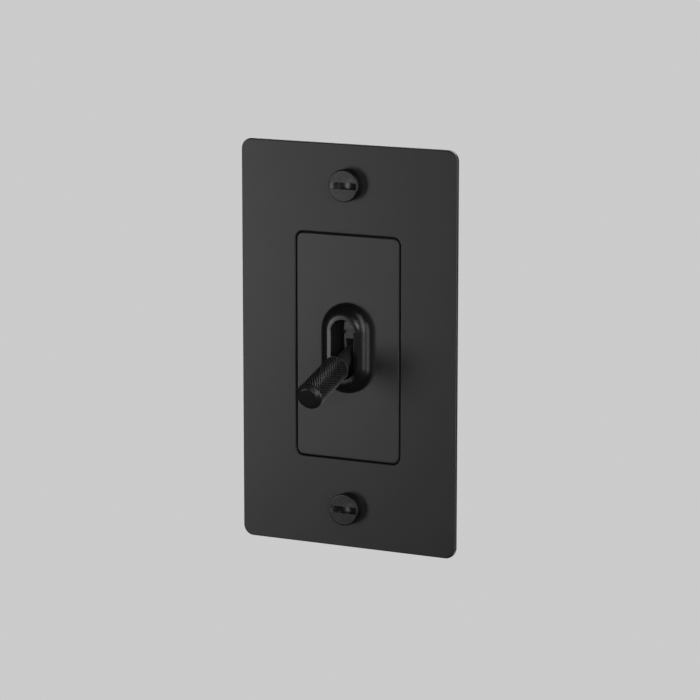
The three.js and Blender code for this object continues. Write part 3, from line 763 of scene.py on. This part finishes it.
def pan_screw(head_radius, head_height, radius, length, pitch):
    """Slotted pan-head screw: head towards -Y, its seat at the origin, shank along +Y."""
    sides = 40
    top = -head_height
    flat, rim, rim_height, slot_half, slot_floor = 0.55, 0.97, 0.62, 0.16, 0.45
    profile = rounded_path(
        [(0.3, top), (head_radius * flat, top), (head_radius * rim, top * rim_height),
         (head_radius, 0), (radius, 0)],
        [0, head_radius * 0.5, head_height * 0.3, 0, 0], 5)
    rings = [ring(r, y, sides) for r, y in profile] + thread_rings(radius, length, pitch, sides)
    half, floor, past = head_radius * slot_half, top * slot_floor, 1
    slot = block((-head_radius - past, top - past, -half), (head_radius + past, floor, half), 0)
    screw = cut(loft(rings), slot)
    return softened(screw, min(0.08, head_radius * 0.04), 50, 2, lambda v: v.co.y < 0.01)


def placed(x=0.0, y=0.0, z=0.0, turn=0.0, spin=0.0):
    """Place for a screw: its head faces -Y turned by turn degrees about Z, and its slot by spin."""
    return (Matrix.Translation((x, y, z)) @ Matrix.Rotation(radians(turn), 4, "Z")
            @ Matrix.Rotation(radians(spin), 4, "Y"))


# ---- yoke

def yoke_outline():
    body_x, body_z = PANEL_SIZE[0] / 2 + SEAM - FINE_GAP, PANEL_SIZE[1] / 2 + SEAM
    neck, ear_z, ear, end, corner = 10.0, 45.0, 14.0, 53.0, 2.5
    quarter = [(body_x, body_z), (neck, body_z), (neck, ear_z), (ear, ear_z), (ear, end - corner),
               (ear - corner, end)]
    radii = [1.2, 1.0, 1.0, 1.0, 1.2, 1.2]
    right = [(x, -z) for x, z in reversed(quarter)] + quarter
    left = [(-x, z) for x, z in reversed(right)]
    return polygon(right + left, (radii[::-1] + radii) * 2)


def yoke_holes():
    """Opening for the lever, slots for the box screws, round holes, and two spare holes at each end."""
    holes = [stadium(SPIGOT_RADIUS + 2 * GAP, SLOT_STRETCH)]
    spare_x, spare_z = 6.4, 36.9
    for side in (-1, 1):
        holes.append(stadium(2.05, 1.45, (0, side * BOX_SCREW_Z), sideways=True))
        for radius, z in ((1.9, PLATE_SCREW_Z), (1.65, PANEL_SCREW_Z), (1.6, BODY_SCREW_Z)):
            holes.append(circle(radius, (0, side * z), 32))
        holes += [circle(1.2, (x, side * spare_z), 24) for x in (-spare_x, spare_x)]
    return holes


def mounting_yoke():
    """Stamped strap with screw ears and a bent earth tab."""
    strap = slab(yoke_outline(), YOKE_FRONT, YOKE_BACK, yoke_holes(), 0.15, 2)
    screw = middle_mm("ground_screw")
    length, depth, middle, thickness, tab_x = 9.0, 10.6, 7.7, 1.6, -8.4
    hole = circle(1.9, (screw.z, screw.y), 32)
    tab = slab(rectangle(length, depth, 1.2, (screw.z, middle)), -thickness, 0, [hole], 0.15, 2)
    turn = Matrix(((0, 1, 0, tab_x), (0, 0, 1, 0), (1, 0, 0, 0), (0, 0, 0, 1)))
    return fused(strap, moved(tab, turn))


def screw_retainer():
    """Square fibre washer that grips a box screw."""
    side, corner, thickness, bore = 8.4, 1.0, 0.8, 1.85
    return slab(rectangle(side, side, corner), 0, thickness, [circle(bore, count=32)], 0.1, 2)


# ---- moulded body

def body_slab(front, back, edge=0.4):
    return slab(rectangle(*BODY_SIZE, 2.0), front, back, (), edge, 3)


def cavity(front, back):
    return slab(rectangle(*CAVITY_SIZE, 1.0), front, back)


def rod(radius, front, back, sides=40, **place):
    return at(turned([(radius, front), (radius, back)], sides), **place)


def across(bm, x=0.0, y=0.0, z=0.0, flip=False):
    """Turns a piece made along +Y so that it lies along +X, or along -X, and sets it in place."""
    turn = Matrix.Rotation(pi / 2 if flip else -pi / 2, 4, "Z")
    return moved(bm, Matrix.Translation((x, y, z)) @ turn)


def front_frame():
    """Front half of the moulded body, with the two cheeks that carry the pivot pin."""
    front, cavity_front, boss_front, past = 3.9, 5.5, 4.9, 3
    shell = cut(body_slab(front, SPLIT), cavity(cavity_front, SPLIT + past))
    opening_x, opening_z = 5.0, 4.3
    solids, tools = [], [block((-opening_x, 0, -opening_z), (opening_x, SPLIT, opening_z), 0)]
    cheek_x, half, tall, end = 6.5, 1.5, 6.5, 11.6
    rib_x, rib_z, pip_x, pip_z = 9, 16, 11, 23.4
    for side in (-1, 1):
        x = cheek_x * side
        solids.append(block((x - half, boss_front, -tall), (x + half, end, tall), 0.4))
        solids.append(rod(BODY_BOSS_RADIUS, boss_front, SPLIT, z=side * BODY_SCREW_Z))
        solids += [block((x - 0.5, 5, side * rib_z - 8), (x + 0.5, 9, side * rib_z + 8), 0.1)
                   for x in (-rib_x, rib_x)]
        tools.append(rod(BODY_BOSS_BORE, 0, 20, z=side * BODY_SCREW_Z))
        tools += [rod(1.1, 3, 4.2, 32, x=x, z=side * pip_z) for x in (-pip_x, pip_x)]
    tools.append(across(rod(PIN_BORE, -10, 10), y=PIVOT_Y))
    return softened(cut(fused(shell, *solids), *tools), 0.15, 50, 2)


def rear_housing():
    """Rear half of the body: a cup with stop walls, notches for terminals and moulded relief."""
    front, floor, back, past = SPLIT + GAP, 30.0, 31.8, 40
    stop_inside, stop_outside, stop_end = 7.9, 9.1, 22.0
    shell = cut(body_slab(front, back, 0.6), cavity(front - 3, floor))
    notch = TERMINAL["half_height"] + GAP
    notches = ((TERMINAL["x"], CONTACT_Z), (TERMINAL["x"], -CONTACT_Z), (-TERMINAL["x"], 0))
    tools = [block((x - 2, SPLIT - 1, z - notch), (x + 2, floor, z + notch), 0) for x, z in notches]
    solids = []
    wall = TERMINAL["x"]
    for side in (-1, 1):
        low, high = sorted((side * stop_inside, side * stop_outside))
        solids.append(block((-14.2, front, low), (11.2, stop_end, high), 0.1))
        solids.append(rod(BODY_BOSS_RADIUS, front, 31, z=side * BODY_SCREW_Z))
        tools.append(rod(BODY_BOSS_BORE, 0, past, z=side * BODY_SCREW_Z))
        tools.append(rod(BODY_SCREW[0] + GAP, back - 2, past, z=side * BODY_SCREW_Z))
        tools += [rod(1.5, back - 0.35, past, 32, x=x, z=side * 22.5) for x in (-11, 11)]
        tools.append(block((-15.5, 16, side * 18.5 - 3.5), (-wall, 28, side * 18.5 + 3.5), 0))
        tools.append(block((wall, 16, side * 21 - 2.5), (15.5, 28, side * 21 + 2.5), 0))
    tools.append(slab(rectangle(22, 33, 1.5), back - 0.5, past, (), 0.05, 1))
    body = cut(fused(shell, *solids), *tools)
    ribs = [block((-9, back - 1, z - 0.5), (9, back - 0.05, z + 0.5), 0.1) for z in range(-12, 13, 6)]
    return softened(fused(body, *ribs), 0.15, 50, 2)


# ---- pin and clip

def pivot_pin():
    radius, neck, head = 1.2, 0.8, 1.9
    end, head_end, groove, seat = 9.8, 9.2, 8.4, 8.3
    profile = rounded_path(
        [(0.3, -end), (radius, -end), (radius, -head_end), (neck, -head_end), (neck, -groove),
         (radius, -groove), (radius, seat), (head, seat), (head, head_end), (0.3, head_end)],
        [0, 0.3, 0, 0, 0, 0, 0, 0, 0.35, 0], 4)
    return across(turned(profile, 48))


def pin_clip():
    """Open spring clip for the groove near the pin's end."""
    mouth = pi / 5
    outside, inside, half, clip_x = 1.9, 0.95, 0.25, -8.8
    outer = arc_points((0, 0), outside, mouth, 2 * pi - 2 * mouth, 36)
    inner = arc_points((0, 0), inside, 2 * pi - mouth, 2 * mouth - 2 * pi, 24)
    rings = [[(x, y, z) for x, z in outer + inner] for y in (-half, half)]
    return across(softened(loft(rings), 0.06, 60, 2), x=clip_x)


# ---- lever, about its pivot

def lever_drum():
    """Drum on the pivot pin, with a flat seat for the stem in front and a bored tail behind."""
    radius, half, chamfer, seat_depth = 4.0, 4.5, 0.2, 2.9
    drum = across(turned([(radius - chamfer, -half), (radius, chamfer - half), (radius, half - chamfer),
                          (radius - chamfer, half)], 96))
    radius, end, chamfer, bore, bore_floor = 3.7, 14.8, 0.3, 2.2, 6.0
    tail = turned([(radius, 0), (radius, end - chamfer), (radius - chamfer, end)], 48)
    seat = block((-10, -5, -4), (10, -seat_depth, 4), 0)
    bores = [across(rod(PIN_BORE, -10, 10)), rod(STEM["spigot"] + GAP, -4, GAP - STEM["root"]),
             rod(bore, bore_floor, 16)]
    return softened(cut(fused(drum, tail), seat, *bores), 0.12, 50, 2)


def lever_stem():
    """Plain stem with a spigot at each end and a flat foot on the drum's seat."""
    radius, spigot, start, end = STEM["radius"], STEM["spigot"], STEM["start"], STEM["end"]
    profile = rounded_path(
        [(0.3, -STEM["tip"]), (spigot, -STEM["tip"]), (spigot, -end), (radius, -end), (radius, -start),
         (spigot, -start), (spigot, -STEM["root"]), (0.3, -STEM["root"])],
        [0, 0.2, 0, 0.3, 0.1, 0, 0.2, 0], 4)
    foot = block((-3.1, -3.6, -2.7), (3.1, -2.95, 2.7), 0.1)
    return fused(turned(profile, 64), foot)


def wave(value):
    """Triangle wave: 0 at whole numbers and 1 halfway between them."""
    return 1 - 2 * abs(value % 1.0 - 0.5)


def knurled_grip():
    """Bar with a cut diamond knurl. Every facet of a diamond is flat, and its point is blunt."""
    steps = 8
    around = KNURL["starts"] * steps
    radius, start, end, face = GRIP["radius"], GRIP["start"], GRIP["end"], GRIP["face"]
    pitch = 2 * pi * radius / KNURL["starts"]
    length = pitch / tan(radians(KNURL["helix_deg"]))
    rows = round((KNURL["last"] - KNURL["first"]) / length * steps)
    plain = radius - 0.03
    tip = rounded_path(
        [(0.3, -end), (face, -end), (plain, GRIP["chamfer"] - end), (plain, -KNURL["last"] - 0.1)],
        [0, 0.5, 0.5, 0], 5)
    bore, floor = STEM["spigot"] + GAP, STEM["tip"] + GAP
    root_chamfer = GRIP["root_chamfer"]
    root = rounded_path(
        [(plain, 0.1 - KNURL["first"]), (plain, -start - root_chamfer), (radius - root_chamfer, -start),
         (bore, -start), (bore, -floor), (0.3, -floor)],
        [0, 0.1, 0.1, 0, 0, 0], 3)
    rings = [ring(r, y, around) for r, y in tip]
    for j in range(rows + 1):
        y = length * j / steps - KNURL["last"]
        row = []
        for i in range(around):
            height = min(wave((i + j) / steps), wave((i - j) / steps), KNURL["blunt"]) / KNURL["blunt"]
            reach = radius - KNURL["depth"] * (1 - height)
            turn = 2 * pi * i / around
            row.append((reach * cos(turn), y, reach * sin(turn)))
        rings.append(row)
    rings += [ring(r, y, around) for r, y in root]
    return split_knurl(loft(rings))


def split_knurl(bm):
    """Splits the twisted quads of a knurl along the diagonal that keeps its facets flat."""
    quads = [f for f in bm.faces if len(f.verts) == 4 and not flat(f)]
    for quad in quads:
        a, b, c, d = quad.verts
        bmesh.utils.face_split(quad, *min((b, d), (a, c), key=height_step))
    return bm


def height_step(ends):
    """How much two vertices differ in their distance from the axis."""
    first, second = (hypot(vert.co.x, vert.co.z) for vert in ends)
    return abs(first - second)


def flat(face):
    a, b, c, d = (v.co for v in face.verts)
    return abs((d - a).dot((b - a).cross(c - a))) < 1e-9


def plunger():
    radius, start, dome_start = 1.9, 10.4, 15.4
    dome = arc_points((0, dome_start), radius, 0, pi / 2 - 0.12, 12)
    profile = rounded_path([(0.3, start), (radius, start), (radius, 14.8)], [0, 0.2, 0], 3)
    return turned(profile + dome, 48)


def plunger_spring():
    """Round wire wound four times."""
    wire, radius, start, end, turns = SPRING.values()
    steps = turns * 36
    rings = []
    for i in range(steps + 1):
        share = i / steps
        turn = share * turns * 2 * pi
        rise = start + wire + share * (end - start - 2 * wire)
        out = Vector((cos(turn), 0, sin(turn)))
        row = []
        for k in range(12):
            angle = 2 * pi * k / 12
            lift = Vector((0, rise + wire * sin(angle), 0))
            row.append(out * (radius + wire * cos(angle)) + lift)
        rings.append(row)
    return loft(rings)


# ---- contacts and terminals

def prism(outline, half_width, edge=0.08):
    """Outline of (z, y) points made solid across X."""
    rings = [[(x, y, z) for z, y in outline] for x in (-half_width, half_width)]
    return softened(loft(rings), edge, 20, 2)


def wing_depth(z):
    """Depth of the rocker's back face at a height, from its pivot, with the rocker level."""
    bend = tan(radians(WING["bend_deg"]))
    return WING["front"] + WING["thickness"] - ROCKER_Y - abs(z) * bend


def contact_rocker():
    end = WING["half_length"]
    back = [(z, wing_depth(z)) for z in (-end, 0, end)]
    front = [(z, y - WING["thickness"]) for z, y in reversed(back)]
    holes = [on_wing(side, rod(1.0, -3, 3, 24)) for side in (-1, 1)]
    return cut(prism(back + front, WING["half_width"]), *holes)


def on_wing(side, bm):
    """Puts a piece made about Y onto a wing of the rocker, square to the wing's back face."""
    place = Matrix.Translation((0, wing_depth(CONTACT_Z), side * CONTACT_Z))
    return moved(bm, place @ Matrix.Rotation(side * radians(WING["bend_deg"]), 4, "X"))


def moving_contact(side):
    profile = rounded_path(
        [(0.2, -1.3), (1.0, -1.3), (1.0, -0.95), (0.9, -0.95), (0.9, 0.1), (1.8, 0.1), (1.8, 0.65),
         (0.2, 0.9)],
        [0, 0.15, 0, 0, 0, 0, 0.15, 0], 4)
    return on_wing(side, turned(profile, 40))


def fixed_contact():
    profile = rounded_path(
        [(0.2, 27.75), (1.7, 27.8), (2.0, 28.1), (2.0, 28.6), (0.9, 28.6), (0.9, 29.6), (0.2, 29.6)],
        [0, 0.2, 0.1, 0, 0, 0.1, 0], 4)
    return turned(profile, 40)


def terminal_angle(start, half_height, *more):
    """Brass angle on the +X side: a strip along the rear wall and a flange for the screw."""
    outside, tall = TERMINAL["x"], TERMINAL["half_height"]
    flange, flange_front, front, back = 1.0, 16.0, 28.7, 29.7
    strip = block((start, front, -half_height), (outside, back, half_height), 0)
    flange = block((outside - flange, flange_front, -tall), (outside, back, tall), 0)
    angle = cut(fused(strip, flange, *more), across(rod(1.9, 0, 20), y=TERMINAL["y"]))
    return softened(angle, 0.12, 50, 2)


def common_terminal():
    """Angle with the edge that the rocker sits on and an ear at each side of it."""
    root, root_half, tip_half = 29.2, 1.1, 0.25
    fulcrum = [(root_half, root), (tip_half, ROCKER_Y), (-tip_half, ROCKER_Y), (-root_half, root)]
    ear_x, ear_front, ear_tall = 3.8, 24.65, 2.4
    ears = [block((side * ear_x - 0.5, ear_front, -ear_tall), (side * ear_x + 0.5, root, ear_tall), 0)
            for side in (-1, 1)]
    angle = terminal_angle(-4.3, 3, prism(fulcrum, WING["half_width"], 0.04), *ears)
    return moved(angle, Matrix.Rotation(pi, 4, "Y"))


# ---- assembly

def build_switch():
    plate, metal = satin_plate("satin_plate", 1.0), satin_metal()
    zinc, screw = zinc_steel(), zinc_screw()
    plastic, pale, steel = moulded_plastic(), grey_plastic(), spring_steel()
    yellow, contact = brass(), silver()
    head_x = TERMINAL["x"] + FINE_GAP

    piece("satin_face_plate", face_plate(), "plate", plate, "face_plate")
    piece("satin_panel", insert_panel(), "plate", satin_plate("satin_panel", 1.6), "insert_panel")
    piece("oval_bezel", toggle_bezel(), "black_metal", bezel_metal(), "toggle_bezel")
    # The black foam is a dark sheet that stands in for the shade inside the seam.
    piece("seam_shade_foam", seam_seal(), "foam", foam(), "seam_seal")
    piece("stamped_yoke", mounting_yoke(), "zinc_steel", zinc, "mounting_yoke")
    piece("moulded_front", front_frame(), "grey_plastic", pale, "front_frame")
    piece("moulded_housing", rear_housing(), "body_plastic", plastic, "rear_housing")
    piece("turned_pin", pivot_pin(), "spring_steel", steel, "pivot_pin", place=PIVOT_PLACE)
    piece("spring_clip", pin_clip(), "spring_steel", steel, "pin_clip", place=PIVOT_PLACE)

    washer = fibre()
    for end, side in (("upper", 1), ("lower", -1)):
        piece(f"coin_screw_{end}", coin_screw(), "black_metal", metal, f"plate_screw_{end}",
              place=placed(0, FRONT - FINE_GAP, side * PLATE_SCREW_Z))
        piece(f"box_fixing_{end}", pan_screw(*BOX_SCREW), "zinc_steel", screw, f"box_screw_{end}",
              place=placed(0, YOKE_FRONT - FINE_GAP, side * BOX_SCREW_Z, spin=25 * side))
        piece(f"fibre_washer_{end}", screw_retainer(), "fibre", washer,
              f"screw_retainer_{end}", place=placed(0, YOKE_BACK + GAP, side * BOX_SCREW_Z))
        piece(f"panel_fixing_{end}", pan_screw(*PANEL_SCREW), "zinc_steel", screw, f"panel_screw_{end}",
              place=placed(0, YOKE_BACK + FINE_GAP, side * PANEL_SCREW_Z, 180, 40 * side))
        piece(f"bezel_fixing_{end}", pan_screw(*BEZEL_SCREW), "zinc_steel", screw,
              f"bezel_screw_{end}", place=placed(0, FINE_GAP, side * BEZEL_SCREW_Z, 180, 15 * side))
        piece(f"body_fixing_{end}", pan_screw(*BODY_SCREW), "zinc_steel", screw,
              f"body_screw_{end}", place=placed(0, 29.9, side * BODY_SCREW_Z, 180, 62 * side))
        piece(f"contact_stud_{end}", fixed_contact(), "silver", contact,
              f"fixed_contact_{end}", place=placed(z=side * CONTACT_Z))
        piece(f"traveller_angle_{end}", terminal_angle(-3, 3), "brass", yellow,
              f"traveller_terminal_{end}", place=placed(z=side * CONTACT_Z))
        piece(f"traveller_fixing_{end}", pan_screw(*TERMINAL_SCREW), "brass", yellow,
              f"traveller_screw_{end}",
              place=placed(head_x, TERMINAL["y"], side * CONTACT_Z, 90, 30 + 25 * side))
        piece(f"wing_contact_{end}", moving_contact(side), "silver", contact,
              f"moving_contact_{end}", body="rocker", place=ROCKER_PLACE)

    piece("common_angle", common_terminal(), "brass", yellow, "common_terminal")
    piece("common_fixing", pan_screw(*TERMINAL_SCREW), "black_metal", metal,
          "common_screw", place=placed(-head_x, TERMINAL["y"], 0, -90, 20))
    piece("earth_fixing", pan_screw(*TERMINAL_SCREW), "green_metal", green_screw(),
          "ground_screw", place=placed(-10.1, 8.4, -39, -90, 75))

    piece("pivot_drum", lever_drum(), "grey_plastic", pale, "lever_drum", body="lever", place=LEVER_PLACE)
    piece("turned_stem", lever_stem(), "black_metal", blued_steel(), "lever_stem",
          body="lever", place=LEVER_PLACE)
    piece("diamond_grip", knurled_grip(), "knurl", knurled_metal(), "knurled_grip",
          body="lever", place=LEVER_PLACE, smooth_angle=20)
    spring = piece("wound_spring", plunger_spring(), "spring_steel", steel, "plunger_spring",
                   body="lever", place=LEVER_PLACE)
    shorten_spring(spring)
    piece("nylon_plunger", plunger(), "nylon", nylon(), "plunger", body="plunger", place=LEVER_PLACE)
    piece("bronze_rocker", contact_rocker(), "brass", yellow, "contact_rocker",
          body="rocker", place=ROCKER_PLACE)


def shorten_spring(spring):
    """Gives the spring its own copy of its mesh."""
    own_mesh(spring)


# ---- stage, light and camera

def direction(azimuth, elevation):
    """Unit vector towards a place on a sphere. Azimuth 0 is straight in front, at -Y."""
    a, e = radians(azimuth), radians(elevation)
    return Vector((sin(a) * cos(e), -cos(a) * cos(e), sin(e)))


def backdrop():
    """Pale floor that rises in a wide curve into a wall all round, so it shows no edge."""
    floor, radius, sweep, top = -0.5, 2.4, 1.0, 3.0
    lower = arc_points((radius - sweep, floor + sweep), sweep, -pi / 2, pi / 2, 16)
    upper = arc_points((radius - sweep, top), sweep, 0, pi / 2, 16)
    profile = [(0.01, floor), (0.8, floor)] + lower + [(radius, top)] + upper + [(0.01, top + sweep)]
    sides = 96
    rings = [[(x, y, z) for x, y in circle(r, count=sides)()] for r, z in profile]
    bm = loft(rings)
    for face in bm.faces:
        face.normal_flip()
        face.smooth = True
    mesh = bpy.data.meshes.new("backdrop")
    bm.to_mesh(mesh)
    bm.free()
    bowl = linked("backdrop", mesh)
    paper = Shader("pale_paper").finish((0, 0, 0, 1), 0.5, Specular_IOR_Level=0.0,
                                        Emission_Color=(1, 1, 1, 1), Emission_Strength=PAPER)
    mesh.materials.append(paper)
    bowl.visible_diffuse = False
    bowl.visible_glossy = False
    bowl.visible_shadow = False


def soft_light(name, azimuth, elevation, distance, width, height, watts):
    light = bpy.data.lights.new(name, "AREA")
    light.shape = "RECTANGLE"
    light.size = width
    light.size_y = height
    light.energy = watts
    thing = linked(name, light)
    aim(thing, direction(azimuth, elevation), distance)
    thing.visible_camera = False


def aim(thing, towards, distance, target=(0, 0, 0)):
    """Places a light or camera on a line from its target, and turns it to look back along it."""
    thing.location = Vector(target) + towards * distance
    thing.rotation_mode = "QUATERNION"
    thing.rotation_quaternion = towards.to_track_quat("Z", "Y")


def studio():
    for name, light in LIGHTS.items():
        soft_light(name, *light)
    world = bpy.data.worlds.new("studio")
    bpy.context.scene.world = world
    world.use_nodes = True
    sky = world.node_tree.nodes["Background"]
    sky.inputs["Color"].default_value = (1, 1, 1, 1)
    sky.inputs["Strength"].default_value = SKY


def camera():
    data = bpy.data.cameras.new("camera")
    data.lens = CAMERA["lens"]
    data.sensor_width = 36
    data.clip_end = 20
    thing = linked("camera", data)
    aim(thing, direction(CAMERA["azimuth"], CAMERA["elevation"]), CAMERA["distance"], CAMERA["aim"])
    bpy.context.scene.camera = thing
    bpy.context.scene.view_settings.view_transform = "Standard"


build_switch()
backdrop()
studio()
camera()
